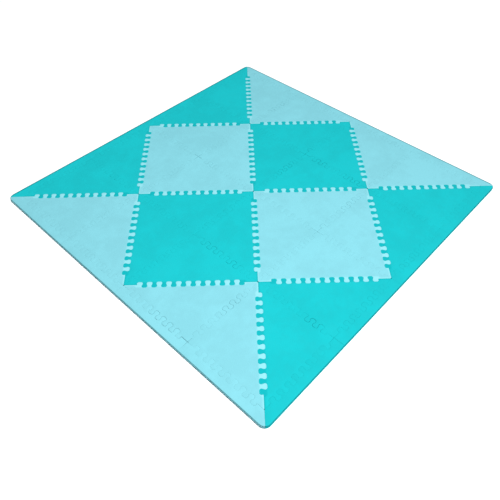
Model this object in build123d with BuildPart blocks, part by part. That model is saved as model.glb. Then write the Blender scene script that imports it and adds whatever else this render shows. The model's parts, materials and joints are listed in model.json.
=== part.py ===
from build123d import *

import os
from math import radians, tan

# An interlocking foam floor mat: triangular tiles in a square grid, ringed by straight edge strips.
# Millimetres, +Z up. The origin is on the floor under the middle of the mat. The mat's sides run
# along X and Y, so that its north side faces +Y and its east side +X.

# ---- driving dimensions ----
TILE_LEG = 356.0  # a tile's two short sides, measured on the seam lines
GRID_CELLS = 4  # square cells along one side of the mat, with two tiles in each
FOAM_THICKNESS = 14.0
STRIP_WIDTH = 46.0  # from the seam line to the mat's outer edge
CORNER_RADIUS = 26.0  # the mat's four outer corners
TOOTH_PITCH = 36.4  # one tooth and one socket
TOOTH_REACH = 13.5  # how far a tooth stands out past the seam line
FLANK_ANGLE = 20.0  # how far a tooth's sides lean out, in degrees
TOOTH_FILLET = 7.5  # large enough to make each tooth's head round
ROOT_FILLET = 2.2  # where the teeth of an edge begin and end
LEG_TEETH = 8
LONG_TEETH = 11  # on a tile's long side
TIP_RADIUS = 1.5  # the corners of every piece
SEAM_GAP = 0.3  # room between neighbouring pieces, all along a seam

# ---- worked out from those ----
HALF_GRID = GRID_CELLS // 2
MAT_SIDE = GRID_CELLS * TILE_LEG + 2 * STRIP_WIDTH
FLANK_LEAN = TOOTH_REACH * tan(radians(FLANK_ANGLE))
SAME_POINT = 1e-3

# ---- names ----
# Four tiles with their square corners together make one coloured square, and two make half of one
# at the mat's side. Each is named by where that corner is, in tile legs from the mat's middle.
SQUARES = {
    (0, 1): "north",
    (0, -1): "south",
    (1, 0): "east",
    (-1, 0): "west",
    (-1, 2): "north_side_west",
    (1, 2): "north_side_east",
    (-1, -2): "south_side_west",
    (1, -2): "south_side_east",
    (2, -1): "east_side_south",
    (2, 1): "east_side_north",
    (-2, -1): "west_side_south",
    (-2, 1): "west_side_north",
}
QUADRANTS = ["ne", "nw", "sw", "se"]  # where each quarter turn about that corner puts a tile
SIDES = ["south", "east", "north", "west"]  # where each quarter turn about the middle puts a strip


def tooth_roots(start, end, teeth):
    """The two points on the seam line where the teeth of an edge begin and end."""
    straight = (end - start).normalized() * ((end - start).length - teeth * TOOTH_PITCH) / 2
    return start + straight, end - straight


def tooth_corners(start, end, teeth):
    """Corner points of an edge's teeth, with the piece on the left of the way from start to end.

    There is a socket and then a tooth for each pitch, midway along the edge, so the edge looks the
    same from either end and any two edges of one length lock together.
    """
    along = (end - start).normalized()
    crest = along.rotate(Axis.Z, -90) * TOOTH_REACH
    first_root = tooth_roots(start, end, teeth)[0]
    points = []
    for pitch in range(teeth):
        socket_start = first_root + along * pitch * TOOTH_PITCH
        tooth_start = socket_start + along * TOOTH_PITCH / 2
        tooth_end = socket_start + along * TOOTH_PITCH
        points.append(socket_start - along * FLANK_LEAN - crest)
        points.append(tooth_start + along * FLANK_LEAN - crest)
        points.append(tooth_start - along * FLANK_LEAN + crest)
        points.append(tooth_end + along * FLANK_LEAN + crest)
    return points


def among(vertices, places):
    """Those of the vertices that lie at one of the places."""
    gaps = {v: min((Vector(*v) - place).length for place in places) for v in vertices}
    return [v for v, gap in gaps.items() if gap < SAME_POINT]


def piece_profile(corners, teeth_by_side, mat_middle=None):
    """The flat shape of one piece, less half a seam's gap all round.

    The shape is kept inside the mat's rounded outline where mat_middle says where the mat is.
    """
    outline = []
    crests = []
    roots = []
    for start, end, teeth in zip(corners, corners[1:] + corners[:1], teeth_by_side):
        outline.append(start)
        if teeth:
            first_root, last_root = tooth_roots(start, end, teeth)
            edge_crests = tooth_corners(start, end, teeth)
            outline += [first_root, *edge_crests, last_root]
            crests += edge_crests
            roots += [first_root, last_root]
    with BuildSketch() as profile:
        with BuildLine():
            Polyline(*outline, close=True)
        make_face()
        fillet(among(profile.vertices(), crests), TOOTH_FILLET)
        fillet(among(profile.vertices(), roots), ROOT_FILLET)
        fillet(among(profile.vertices(), corners), TIP_RADIUS)
        if mat_middle:
            with Locations(mat_middle):
                RectangleRounded(MAT_SIDE, MAT_SIDE, CORNER_RADIUS, mode=Mode.INTERSECT)
        offset(amount=-SEAM_GAP / 2)
    return profile.sketch


def tile_profile():
    """A right-angled triangle with its square corner at the origin and its legs along +X and +Y."""
    corners = [Vector(0, 0), Vector(TILE_LEG, 0), Vector(0, TILE_LEG)]
    return piece_profile(corners, [LEG_TEETH, LONG_TEETH, LEG_TEETH])


def strip_profile(number):
    """A strip of a side, with its seam from the origin along +X and its outer edge below.

    Strips are numbered counter-clockwise. The first and the last of a side are cut at 45 degrees
    where they meet the next side's.
    """
    first_mitre = STRIP_WIDTH if number == 1 else 0
    last_mitre = STRIP_WIDTH if number == GRID_CELLS else 0
    corners = [
        Vector(-first_mitre, -STRIP_WIDTH),
        Vector(TILE_LEG + last_mitre, -STRIP_WIDTH),
        Vector(TILE_LEG, 0),
        Vector(0, 0),
    ]
    mat_middle = ((HALF_GRID + 1 - number) * TILE_LEG, HALF_GRID * TILE_LEG)
    return piece_profile(corners, [0, 0, LEG_TEETH, 0], mat_middle)


def save_piece(profile, origin, quarter_turns, name):
    """One piece of foam: its profile set down at its place, and as thick as the sheet."""
    x_dir = Vector(1, 0, 0).rotate(Axis.Z, 90 * quarter_turns)
    with BuildPart() as piece:
        with BuildSketch(Plane(origin=origin, x_dir=x_dir)):
            add(profile)
        extrude(amount=FOAM_THICKNESS)
    piece.part.label = name
    export_step(piece.part, f"parts/{name}.step")


os.makedirs("parts", exist_ok=True)

# ---- triangular tiles ----
tile = tile_profile()
for (column, row), square in SQUARES.items():
    colour = "aqua" if column % 2 else "teal"
    for turns, quadrant in enumerate(QUADRANTS):
        towards = Vector(1, 1).rotate(Axis.Z, 90 * turns)
        cell = Vector(column, row) + towards / 2
        if max(abs(cell.X), abs(cell.Y)) < HALF_GRID:
            place = Vector(column, row) * TILE_LEG
            save_piece(tile, place, turns, f"{colour}_{square}_tile_{quadrant}")

# ---- edge strips ----
for number in range(1, GRID_CELLS + 1):
    strip = strip_profile(number)
    for turns, side in enumerate(SIDES):
        colour = "teal" if side in ("east", "west") else "aqua"
        start = Vector(number - 1 - HALF_GRID, -HALF_GRID) * TILE_LEG
        place = start.rotate(Axis.Z, 90 * turns)
        save_piece(strip, place, turns, f"{colour}_{side}_strip_{number}")
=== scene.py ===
import json
import math

import bpy
import numpy as np
from mathutils import Matrix, Vector, geometry, noise


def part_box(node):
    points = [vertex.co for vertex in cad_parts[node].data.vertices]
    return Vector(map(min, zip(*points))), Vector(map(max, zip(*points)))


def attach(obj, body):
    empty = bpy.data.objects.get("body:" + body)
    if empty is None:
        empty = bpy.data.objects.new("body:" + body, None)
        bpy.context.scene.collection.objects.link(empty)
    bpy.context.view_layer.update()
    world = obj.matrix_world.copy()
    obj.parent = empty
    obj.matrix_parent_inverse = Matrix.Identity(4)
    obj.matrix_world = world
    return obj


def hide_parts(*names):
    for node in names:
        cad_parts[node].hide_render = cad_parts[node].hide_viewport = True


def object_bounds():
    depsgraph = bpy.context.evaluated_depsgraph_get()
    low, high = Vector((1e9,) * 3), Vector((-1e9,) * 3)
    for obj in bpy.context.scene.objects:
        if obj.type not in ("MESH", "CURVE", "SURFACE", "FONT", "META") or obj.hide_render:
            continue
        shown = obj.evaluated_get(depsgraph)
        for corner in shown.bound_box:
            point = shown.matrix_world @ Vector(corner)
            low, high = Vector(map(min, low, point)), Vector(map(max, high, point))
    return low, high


# An interlocking foam floor mat: thirty-two triangular tiles and sixteen edge strips, each one a
# piece of die-cut foam sheet with a pressed skin above and below and a cut edge all round.
# Metres, +Z up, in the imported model's own frame.

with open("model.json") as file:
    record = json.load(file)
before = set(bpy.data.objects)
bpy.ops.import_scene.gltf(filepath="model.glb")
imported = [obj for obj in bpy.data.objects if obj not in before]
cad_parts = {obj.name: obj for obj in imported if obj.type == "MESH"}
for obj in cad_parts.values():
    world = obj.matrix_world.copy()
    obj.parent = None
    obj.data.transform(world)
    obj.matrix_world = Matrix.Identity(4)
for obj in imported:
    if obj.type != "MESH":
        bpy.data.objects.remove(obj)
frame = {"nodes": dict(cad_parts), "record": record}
cad_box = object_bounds()

# ---- the mat's plan ----
TOP = cad_box[1].z  # the sheet's thickness, as the mat lies on the floor
HALF_SIDE = cad_box[1].x
CORNER_RADIUS = 0.026
SEAM_GAP = 0.0003
SQUARE_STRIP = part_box("aqua_south_strip_2")
TILE_LEG = SQUARE_STRIP[1].x - SQUARE_STRIP[0].x + SEAM_GAP
SEAMS_END = 2 * TILE_LEG  # from the mat's middle to the seam lines of the strips
TEETH_START = 0.040  # the seams between two colours have no teeth nearer than this to their ends
TEETH_REACH = 0.0135  # from the seam line

# ---- outlines and meshes ----
FACES_UP = 0.9  # a packed face whose normal is steeper than this belongs to the top
PLACE_DIGITS = 7  # to which two places are the same
ARC_STEP = math.radians(14)  # the turn from one outline point to the next round an arc
STRAIGHT_EDGE = 0.0009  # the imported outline's edges are shorter than this on its arcs
LONGEST_EDGE = 0.009  # between two outline points on a straight run
GRID_STEP = 0.011  # between the points inside the top face
UNDERSIDE_STEP = 0.026
GRID_MARGIN = 0.0042  # the least room from those points to the outline
WITHIN_OUTLINE = 1  # Blender's number for a triangulation that stops at the outline
TRIANGLE_TOLERANCE = 1e-8
ALMOST_LEVEL = 1e-12  # stands for no rise at all, where a rise is divided by

# ---- the foam's shape ----
TIGHT_ROLL = 0.00008  # how far in the top edge starts to turn down where a seam is closed
LOOSE_ROLL = 0.00115  # the same where it has worked loose, and round the outside of the mat
ROLL_STEPS = 3
BOTTOM_ROLL = 0.0002
SQUEEZE = 0.00010  # the cut walls swell towards each other where a seam is closed
SLACKEN = 0.00044  # and draw back where it has worked loose
WALL_START = 0.0028  # the height at which the wall has swollen or drawn back in full
WALL_END = 0.0006  # how far below the roll at the top it starts to lean back
WALL_LEVELS = 4  # faces from the underside's rim up to the roll
SWELL = 0.00032  # how far the top sinks in its shallow hollows
SWELL_SIZE = 0.13
SMALL_SWELL_SIZE = SWELL_SIZE / 2.7
PROUD = 0.0006  # how far foam stands up or sinks beside a loose seam
PROUD_SIZE = 0.035

# The noise has layers, each one a pattern of its own: three that all the pieces share and, well clear
# of them, one for each piece.
SWELL_LAYER = 0.0
SMALL_SWELL_LAYER = 1.0
LOOSE_LAYER = 2.0
LAYER_STEP = 1.7  # from one piece's layer to the next's
FIRST_PIECE_STEP = 48  # how many such steps up the first piece's is

# Places where a seam has worked loose: how many tile legs east and north of the mat's middle, how
# many tile legs the looseness reaches, and how loose the seam is, from 0 to 1.
LOOSE_PLACES = [
    (0.25, 1.0, 0.18, 0.7),
    (0.78, 1.0, 0.20, 0.8),
    (0.0, 1.05, 0.14, 0.6),
    (0.0, 0.6, 0.24, 0.6),
    (-1.0, 1.6, 0.20, 0.5),
    (-1.0, 0.0, 0.09, 0.8),
    (-0.75, 0.0, 0.12, 0.5),
    (1.0, 0.6, 0.22, 0.4),
    (1.0, 0.05, 0.14, 0.4),
    (0.3, -1.0, 0.20, 0.6),
    (0.62, -1.0, 0.14, 0.6),
    (1.0, -1.4, 0.22, 0.5),
    (1.75, -1.0, 0.14, 0.65),
    (2.05, -1.0, 0.14, 0.25),
    (0.65, -2.0, 0.28, 0.6),
    (0.955, -2.0, 0.075, 1.0),
    (2.0, -0.4, 0.22, 0.2),
]
LOOSE_FALL = 1.6  # how steeply looseness falls towards the end of its reach
LOOSE_SIZE = 0.11  # of the patches where other seams are a little loose
LOOSE_FROM = 0.12  # the noise value at which such a patch starts
LOOSE_FULL = 0.5  # and the one at which it is at its loosest
LOOSE_MOST = 0.16

# ---- colours, as linear light ----
TEAL = {
    "field": (0.0085, 0.465, 0.505),
    # painted shade on the teeth of the seams between two colours
    "teeth": (0.0040, 0.405, 0.445),
    # painted shade round the outside of the mat
    "rim": (0.0045, 0.205, 0.228),
    "cut": (0.0100, 0.500, 0.540),
}
AQUA = {
    "field": (0.208, 0.567, 0.647),
    # painted highlight on the teeth of the seams between two colours
    "teeth": (0.262, 0.645, 0.718),
    # painted shade round the outside of the mat
    "rim": (0.090, 0.285, 0.318),
    "cut": (0.198, 0.540, 0.618),
}
EDGE_SHADE_BAND = 0.0028  # the painted shade, a darker rim round the outside of the mat
EDGE_SHADE_FULL = 0.0009  # the part of it that is darkest
FAR_SHADE_BAND = 0.0080  # the same on the sides that face west and north, where it is wider
FAR_SHADE_FULL = 0.0045
TEETH_FADE = 0.008  # over which the painted light on the teeth runs into the rest of the tile's colour
TEETH_FULL = TEETH_REACH - 0.006  # from the seam line to where that starts
TEETH_BEGIN = 0.010  # over which the band of teeth widens from nothing at a seam's ends

# ---- the foam's surface ----
CLOUDS_PER_METRE = 7.0
PATCHES_PER_METRE = 34.0
SCUFFS_PER_METRE = (70.0, 9.0, 1.0)  # along X, Y and Z: a scuff is long and thin and runs along Y
SCUFF_TURN = 0.6  # in radians, of the noise that makes them, which hides the noise's own grid
PEBBLES_PER_METRE = 560.0
CELLS_PER_METRE = 1500.0  # the open cells of the cut edge
NOISE_SPAN = (0.3, 0.7)  # most of a noise texture's values lie between these
SCUFF_SPAN = (0.62, 0.8)  # the noise values at which a scuff starts and is there in full
SCUFF_MOST = 0.4
SCUFF_SHADE = 1.09  # the brightness of a full scuff, as a share of the field's
CLOUD_SHADES = (0.962, 1.034)  # of the darkest and the lightest cloud
CUT_SHADES = (0.93, 1.07)
SKIN_ROUGHNESS = (0.78, 0.92)
CUT_ROUGHNESS = (0.85, 1.0)
SHEEN = 0.1  # the specular level of all the foam, which is matt

# ---- the view and the floor ----
VIEW_AZIMUTH = math.radians(43.622)
VIEW_ELEVATION = math.radians(48.67)
VIEW_ROLL = math.radians(-0.421)
VIEW_DISTANCE = 2.047  # from the point looked at
LOOK_NEARER = 0.344  # from the mat's middle to the point looked at, towards the camera
LOOK_ACROSS = -0.017
LENS_MM = 37.235
FLOOR_REACH = 40.0  # from the mat's middle to each side of the floor
FLOOR_BELOW = 0.0002  # under the mat


# ---- outlines ----


def outline_of(node):
    """The node's outline from above, counter-clockwise, as rows of x and y."""
    mesh = frame["nodes"][node].data
    onward = {}
    for polygon in mesh.polygons:
        if polygon.normal.z > FACES_UP:
            spots = [mesh.vertices[v].co.xy for v in polygon.vertices]
            corners = [tuple(round(c, PLACE_DIGITS) for c in spot) for spot in spots]
            for here, there in zip(corners, corners[1:] + corners[:1]):
                if onward.get(there, {}).pop(here, None) is None:
                    onward.setdefault(here, {})[there] = True
    onward = {here: next(iter(there)) for here, there in onward.items() if there}
    start = min(onward)
    points = [start]
    while onward[points[-1]] != start:
        points.append(onward[points[-1]])
    return np.array(points)


def evened_out(points):
    """The outline with a point for each ARC_STEP round its arcs, and its straight runs cut evenly."""
    ahead = np.roll(points, -1, axis=0) - points
    length = np.hypot(*ahead.T)
    heading = np.arctan2(ahead[:, 1], ahead[:, 0])
    turn = (heading - np.roll(heading, 1) + math.pi) % (2 * math.pi) - math.pi
    is_end = (length > STRAIGHT_EDGE) | (np.roll(length, 1) > STRAIGHT_EDGE)
    first = int(np.argmax(is_end))
    kept = []
    turned = 0.0
    for i in np.roll(np.arange(len(points)), -first):
        turned += abs(turn[i])
        if is_end[i] or turned >= ARC_STEP:
            turned = 0.0
            cuts = max(1, math.ceil(length[i] / LONGEST_EDGE)) if length[i] > STRAIGHT_EDGE else 1
            kept += [points[i] + ahead[i] * cut / cuts for cut in range(cuts)]
    return np.array(kept)


def inward(points):
    """For each outline point, the way to step so that both of its edges move in by one metre."""
    ahead = np.roll(points, -1, axis=0) - points
    ahead /= np.hypot(*ahead.T)[:, None]
    left = np.stack([-ahead[:, 1], ahead[:, 0]], axis=1)
    before = np.roll(left, 1, axis=0)
    return (left + before) / (1 + np.sum(left * before, axis=1))[:, None]


def grid_inside(points, step):
    """A triangular grid of points inside the outline, no nearer to it than GRID_MARGIN."""
    low, high = points.min(axis=0), points.max(axis=0)
    row_step = step * math.sqrt(3) / 2
    rows = np.arange(math.floor(low[1] / row_step), math.ceil(high[1] / row_step) + 1)
    columns = np.arange(math.floor(low[0] / step) - 1, math.ceil(high[0] / step) + 1)
    column, row = (a.ravel() for a in np.meshgrid(columns, rows))
    spots = np.stack([(column + 0.5 * (row % 2)) * step, row * row_step], axis=1)
    spots = spots[np.all((spots > low) & (spots < high), axis=1)]
    ahead = np.roll(points, -1, axis=0) - points
    to_spot = spots[:, None, :] - points[None, :, :]
    along = np.clip(np.sum(to_spot * ahead, axis=2) / np.sum(ahead * ahead, axis=1), 0, 1)
    away = np.linalg.norm(to_spot - along[:, :, None] * ahead, axis=2).min(axis=1)
    end = np.roll(points, -1, axis=0)
    spans = (points[:, 1] > spots[:, 1:]) != (end[:, 1] > spots[:, 1:])
    rise = np.where(ahead[:, 1] == 0, ALMOST_LEVEL, ahead[:, 1])
    crossing = points[:, 0] + (spots[:, 1:] - points[:, 1]) / rise * ahead[:, 0]
    is_in = np.sum(spans & (crossing > spots[:, :1]), axis=1) % 2 == 1
    return spots[is_in & (away > GRID_MARGIN)]


# ---- foam pieces ----


def noise_at(places, size, layer):
    """Smooth noise, from about -0.6 to 0.6, at rows of x and y."""
    return np.array([noise.noise(Vector((x / size, y / size, layer))) for x, y in places])


def swell(places):
    """How far the top sinks at rows of x and y, from 0 to 1, the same for all the pieces there."""
    wide = noise_at(places, SWELL_SIZE, SWELL_LAYER)
    small = noise_at(places, SMALL_SWELL_SIZE, SMALL_SWELL_LAYER)
    return np.clip(0.5 + 0.5 * wide + 0.25 * small, 0.0, 1.0)


def looseness(places):
    """How loose the seams are at rows of x and y, from 0, where the foam presses together, to 1."""
    patch = (noise_at(places, LOOSE_SIZE, LOOSE_LAYER) - LOOSE_FROM) / (LOOSE_FULL - LOOSE_FROM)
    loose = LOOSE_MOST * np.clip(patch, 0.0, 1.0)
    for column, row, reach, most in LOOSE_PLACES:
        away = np.hypot(places[:, 0] / TILE_LEG - column, places[:, 1] / TILE_LEG - row) / reach
        loose = np.maximum(loose, most * np.clip(LOOSE_FALL * (1.0 - away), 0.0, 1.0))
    return loose


def is_outside(places):
    """Whether each point of an outline is on the outside of the mat, not in a seam."""
    past = np.maximum(0.0, np.abs(places) - (HALF_SIDE - CORNER_RADIUS))
    return np.hypot(*past.T) > CORNER_RADIUS - SEAM_GAP


def edge_rings(points):
    """Rings of vertices from the underside's rim, up the cut wall and over to the top face's rim."""
    step_in = inward(points)
    outside = is_outside(points)
    loose = looseness(points)
    wall = np.where(outside, 0.0, SLACKEN * loose - SQUEEZE)
    roll = np.where(outside, LOOSE_ROLL, TIGHT_ROLL + (LOOSE_ROLL - SLACKEN - TIGHT_ROLL) * loose)
    flat = np.zeros(len(points))
    quarter = [math.radians(90 * i / ROLL_STEPS) for i in range(ROLL_STEPS + 1)]
    profile = [(flat + BOTTOM_ROLL, flat), (flat, flat + BOTTOM_ROLL)]
    profile += [(wall, flat + WALL_START), (wall, TOP - roll - WALL_END)]
    profile += [(wall + roll * (1 - math.cos(a)), TOP - roll * (1 - math.sin(a))) for a in quarter]
    return [np.column_stack([points + step_in * inset[:, None], height]) for inset, height in profile]


def face_triangles(rim, step):
    """Points and triangles that fill a flat face out to its rim, whose points come first."""
    spots = grid_inside(rim, step)
    count = len(rim)
    flat = [Vector(p) for p in np.concatenate([rim, spots])]
    sides = [(i, (i + 1) % count) for i in range(count)]
    found = geometry.delaunay_2d_cdt(flat, sides, [], WITHIN_OUTLINE, TRIANGLE_TOLERANCE)
    source = [made_from[0] for made_from in found[3]]
    return spots, [[source[v] for v in face] for face in found[2]]


def flat_shell(points):
    """Vertices and faces of a closed piece of even thickness. The cut wall's faces come first."""
    count = len(points)
    rings = edge_rings(points)
    vertices = [tuple(vertex) for ring in rings for vertex in ring]
    faces = []
    for level in range(len(rings) - 1):
        low, high = level * count, (level + 1) * count
        for i in range(count):
            j = (i + 1) % count
            faces.append((low + i, low + j, high + j, high + i))
    for ring_start, height, step, flips in (
        (0, 0.0, UNDERSIDE_STEP, True),
        ((len(rings) - 1) * count, TOP, GRID_STEP, False),
    ):
        rim = np.array(vertices[ring_start:ring_start + count])[:, :2]
        spots, triangles = face_triangles(rim, step)
        inner_start = len(vertices) - count
        vertices += [(x, y, height) for x, y in spots]
        for triangle in triangles:
            corners = [v + (ring_start if v < count else inner_start) for v in triangle]
            faces.append(corners[::-1] if flips else corners)
    return np.array(vertices), faces


def foam_piece(node, layer, skin, cut):
    """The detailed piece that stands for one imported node."""
    points = evened_out(outline_of(node))
    shaped, faces = flat_shell(points)
    flat = shaped[:, :2]
    rise = PROUD * looseness(flat) * noise_at(flat, PROUD_SIZE, layer)
    shaped[:, 2] *= 1 + (rise - SWELL * swell(flat)) / TOP
    mesh = bpy.data.meshes.new(node + "_foam")
    mesh.from_pydata(shaped, [], faces)
    tone = mesh.attributes.new("tone", "FLOAT", "POINT")
    tone.data.foreach_set("value", [noise.noise(Vector((0.5, 0.5, layer)))] * len(shaped))
    mesh.materials.append(skin)
    mesh.materials.append(cut)
    for i in range(WALL_LEVELS * len(points)):
        mesh.polygons[i].material_index = 1
    mesh.shade_smooth()
    piece = bpy.data.objects.new(node + "_foam", mesh)
    bpy.context.scene.collection.objects.link(piece)
    return piece


# ---- materials ----


def new_material(name):
    """An empty material, and a function that adds a node to it, sets its inputs and returns it."""
    material = bpy.data.materials.new(name)
    material.use_nodes = True
    material.node_tree.nodes.clear()

    def add(kind, settings=None, sockets=None, **named):
        made = material.node_tree.nodes.new("ShaderNode" + kind)
        for setting, value in (settings or {}).items():
            setattr(made, setting, value)
        inputs = {word.replace("_", " "): value for word, value in named.items()} | (sockets or {})
        for socket, value in inputs.items():
            if isinstance(value, bpy.types.NodeSocket):
                material.node_tree.links.new(value, made.inputs[socket])
            else:
                made.inputs[socket].default_value = value
        return made

    return material, add


def noise_node(add, place, scale, **settings):
    return add("TexNoise", Vector=place, Scale=scale, **settings).outputs["Fac"]


def voronoi_node(add, feature, place, scale, **settings):
    made = add("TexVoronoi", {"feature": feature}, Vector=place, Scale=scale, **settings)
    return made.outputs["Distance"]


def maths(add, operation, *values):
    return add("Math", {"operation": operation}, dict(enumerate(values))).outputs["Value"]


def vectors(add, operation, *values, output="Vector"):
    return add("VectorMath", {"operation": operation}, dict(enumerate(values))).outputs[output]


def ranged(add, value, start, end, at_start=0.0, at_end=1.0):
    """The value from start to end as a smooth step from at_start to at_end."""
    limits = {"From Min": start, "From Max": end, "To Min": at_start, "To Max": at_end}
    made = add("MapRange", {"interpolation_type": "SMOOTHSTEP"}, limits, Value=value)
    return made.outputs["Result"]


def mixed(add, share, first, second):
    """A colour mix. The node has sockets for every data type, and the colours' are 6, 7 and 2."""
    return add("Mix", {"data_type": "RGBA"}, {0: share, 6: first, 7: second}).outputs[2]


def shaded(colour, strength):
    return (*(c * strength for c in colour), 1.0)


def tooth_painted_light_band(add, place):
    """The mask of painted light on the teeth of the seams between two colours: 1 among them, 0 away.

    Those seams lie where x + y or x - y is a whole number of times 2 * TILE_LEG, and both are at a
    seam's ends, where it is straight and the band narrow.
    """
    spot = add("SeparateXYZ", Vector=place).outputs
    away = [
        maths(add, "PINGPONG", maths(add, operation, spot["X"], spot["Y"]), TILE_LEG)
        for operation in ("ADD", "SUBTRACT")
    ]
    from_line = maths(add, "MULTIPLY", maths(add, "MINIMUM", *away), math.sqrt(0.5))
    from_end = maths(add, "MULTIPLY", maths(add, "MAXIMUM", *away), math.sqrt(0.5))
    full = ranged(add, from_end, TEETH_START, TEETH_START + TEETH_BEGIN, 0.0, TEETH_FULL)
    band = ranged(add, maths(add, "SUBTRACT", from_line, full), 0.0, TEETH_FADE, 1.0, 0.0)
    sides = add("SeparateXYZ", Vector=vectors(add, "ABSOLUTE", place)).outputs
    outermost = maths(add, "MAXIMUM", sides["X"], sides["Y"])
    return maths(add, "MULTIPLY", band, maths(add, "LESS_THAN", outermost, SEAMS_END))


def edge_shade_band(add, outwards, width, full):
    """The mask of painted shade along the mat's edges: 1 along them, falling to 0 at width inside
    them.

    The band is on the edges that face along +X and +Y, and outwards is the place turned over so that
    those are the edges meant. Taking 1 from its height leaves the height out.
    """
    inner = HALF_SIDE - CORNER_RADIUS
    past = vectors(add, "SUBTRACT", outwards, (inner, inner, 1.0))
    reach = vectors(add, "LENGTH", vectors(add, "MAXIMUM", past, (0.0, 0.0, 0.0)), output="Value")
    return ranged(add, reach, CORNER_RADIUS - width, CORNER_RADIUS - full)


def rim(add, place):
    """The mask of painted shade round the whole outside of the mat: 1 there, in a band that is wider
    on its west and north sides.
    """
    all_round = edge_shade_band(add, vectors(add, "ABSOLUTE", place), EDGE_SHADE_BAND, EDGE_SHADE_FULL)
    west_and_north = vectors(add, "MULTIPLY", place, (-1.0, 1.0, 0.0))
    far = edge_shade_band(add, west_and_north, FAR_SHADE_BAND, FAR_SHADE_FULL)
    return maths(add, "MAXIMUM", all_round, far)


def foam_skin(name, colours):
    """The pressed skin of the sheet: matt, faintly clouded and scuffed, with a fine pebbled grain,
    painted light on the seams' teeth and painted shade round the mat's outside.
    """
    material, add = new_material(name)
    place = add("TexCoord").outputs["Object"]
    cloud = noise_node(add, place, CLOUDS_PER_METRE, Detail=3.0, Roughness=0.6)
    patch = noise_node(add, place, PATCHES_PER_METRE, Detail=2.0, Roughness=0.5)
    turned = (0.0, 0.0, SCUFF_TURN)
    drawn_out = add("Mapping", Vector=place, Scale=SCUFFS_PER_METRE, Rotation=turned)
    streak = noise_node(add, drawn_out.outputs["Vector"], 1.0, Detail=3.0)
    pebble = voronoi_node(add, "SMOOTH_F1", place, PEBBLES_PER_METRE, Smoothness=0.45)
    tone = add("Attribute", {"attribute_name": "tone"}).outputs["Fac"]
    cloudy = maths(add, "ADD", ranged(add, cloud, *NOISE_SPAN), maths(add, "MULTIPLY", tone, 0.5))
    speckled = maths(add, "ADD", cloudy, ranged(add, patch, *NOISE_SPAN, -0.25, 0.25))
    scuff = ranged(add, streak, *SCUFF_SPAN, 0.0, SCUFF_MOST)
    field = mixed(add, speckled, *(shaded(colours["field"], shade) for shade in CLOUD_SHADES))
    scuffed = mixed(add, scuff, field, shaded(colours["field"], SCUFF_SHADE))
    # painted light on the teeth of the two-colour seams: a painted highlight on aqua, painted shade
    # on teal
    tooth_painted_light = mixed(add, tooth_painted_light_band(add, place), scuffed, shaded(colours["teeth"], 1.0))
    # painted shade round the outside of the mat
    edge_shaded = mixed(add, rim(add, place), tooth_painted_light, shaded(colours["rim"], 1.0))
    bump = add("Bump", Height=pebble, Strength=0.8, Distance=0.0007)
    shader = add(
        "BsdfPrincipled",
        Base_Color=edge_shaded,
        Roughness=ranged(add, patch, *NOISE_SPAN, *SKIN_ROUGHNESS),
        Normal=bump.outputs["Normal"],
        Specular_IOR_Level=SHEEN,
    )
    add("OutputMaterial", Surface=shader.outputs["BSDF"])
    return material


def foam_cut(name, colours):
    """The die-cut edge, where the foam's small cells are open."""
    material, add = new_material(name)
    place = add("TexCoord").outputs["Object"]
    cell = voronoi_node(add, "F1", place, CELLS_PER_METRE)
    patch = noise_node(add, place, 60.0, Detail=3.0)
    bump = add("Bump", Height=cell, Strength=0.2, Distance=0.0004)
    shader = add(
        "BsdfPrincipled",
        Base_Color=mixed(add, patch, *(shaded(colours["cut"], shade) for shade in CUT_SHADES)),
        Roughness=ranged(add, cell, 0.0, 1.0, *CUT_ROUGHNESS),
        Normal=bump.outputs["Normal"],
        Specular_IOR_Level=SHEEN,
    )
    add("OutputMaterial", Surface=shader.outputs["BSDF"])
    return material


MATERIALS = {
    "teal": (foam_skin("teal_skin", TEAL), foam_cut("teal_cut", TEAL)),
    "aqua": (foam_skin("aqua_skin", AQUA), foam_cut("aqua_cut", AQUA)),
}

for number, (body, nodes) in enumerate(frame["record"]["behaviour"]["bodies"].items()):
    for node in nodes:
        colour = node.split("_")[0]
        piece = foam_piece(node, (FIRST_PIECE_STEP + number) * LAYER_STEP, *MATERIALS[colour])
        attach(piece, body)
        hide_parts(node)


# ---- floor, light and camera ----


def floor():
    """A white sheet just under the mat, so that the two faces don't share a plane."""
    mesh = bpy.data.meshes.new("floor")
    ways = [(-1, -1), (1, -1), (1, 1), (-1, 1)]
    corners = [(x * FLOOR_REACH, y * FLOOR_REACH, -FLOOR_BELOW) for x, y in ways]
    mesh.from_pydata(corners, [], [(0, 1, 2, 3)])
    made = bpy.data.objects.new("floor", mesh)
    bpy.context.scene.collection.objects.link(made)
    material = bpy.data.materials.new("floor_white")
    material.use_nodes = True
    shader = material.node_tree.nodes["Principled BSDF"]
    shader.inputs["Base Color"].default_value = (0.98, 0.98, 0.98, 1.0)
    shader.inputs["Roughness"].default_value = 1.0
    shader.inputs["Specular IOR Level"].default_value = 0.0
    mesh.materials.append(material)


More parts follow.
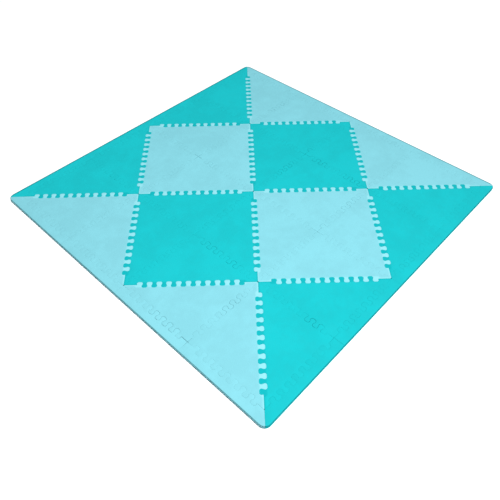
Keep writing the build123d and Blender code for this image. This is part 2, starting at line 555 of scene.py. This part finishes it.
def sun(name, strength, spread, azimuth, elevation):
    """A lamp far off, as many degrees wide as spread. One at azimuth 0 shines along +Y."""
    data = bpy.data.lights.new(name, "SUN")
    data.energy = strength
    data.angle = math.radians(spread)
    made = bpy.data.objects.new(name, data)
    a, e = math.radians(azimuth), math.radians(elevation)
    towards = Vector((math.sin(a) * math.cos(e), -math.cos(a) * math.cos(e), math.sin(e)))
    made.rotation_euler = towards.to_track_quat("Z", "Y").to_euler()
    bpy.context.scene.collection.objects.link(made)


def lamp(name, power, size, place):
    """A round lamp over the mat, out of every camera's sight."""
    data = bpy.data.lights.new(name, "POINT")
    data.energy = power
    data.shadow_soft_size = size
    made = bpy.data.objects.new(name, data)
    made.location = place
    made.visible_camera = False
    bpy.context.scene.collection.objects.link(made)


def white_world():
    """A white background that lights nothing."""
    world = bpy.data.worlds.new("studio")
    world.use_nodes = True
    background = world.node_tree.nodes["Background"]
    background.inputs["Color"].default_value = (1.0, 1.0, 1.0, 1.0)
    background.inputs["Strength"].default_value = 1.0
    world.cycles_visibility.diffuse = False
    world.cycles_visibility.glossy = False
    bpy.context.scene.world = world


def camera():
    """The view of the mat over its nearest corner. A camera at azimuth 0 looks along +Y."""
    a, e = VIEW_AZIMUTH, VIEW_ELEVATION
    across = Vector((math.cos(a), math.sin(a), 0))
    nearer = Vector((math.sin(a), -math.cos(a), 0))
    back = nearer * math.cos(e) + Vector((0, 0, math.sin(e)))
    up = back.cross(across)
    right = across * math.cos(VIEW_ROLL) + up * math.sin(VIEW_ROLL)
    over = up * math.cos(VIEW_ROLL) - across * math.sin(VIEW_ROLL)
    middle = Vector(((cad_box[0].x + cad_box[1].x) / 2, (cad_box[0].y + cad_box[1].y) / 2, TOP))
    look_at = middle + nearer * LOOK_NEARER + across * LOOK_ACROSS
    data = bpy.data.cameras.new("camera")
    data.sensor_width = 36.0
    data.lens = LENS_MM
    data.clip_end = 200.0
    made = bpy.data.objects.new("camera", data)
    turned = Matrix((right, over, back)).transposed().to_4x4()
    made.matrix_world = Matrix.Translation(look_at + back * VIEW_DISTANCE) @ turned
    bpy.context.scene.collection.objects.link(made)
    bpy.context.scene.camera = made


floor()
sun("overhead", strength=3.25, spread=22, azimuth=135, elevation=77)
lamp("near_lamp", power=55.0, size=0.25, place=(0.8, -0.5, 1.7))
white_world()
camera()
bpy.context.scene.view_settings.view_transform = "Standard"
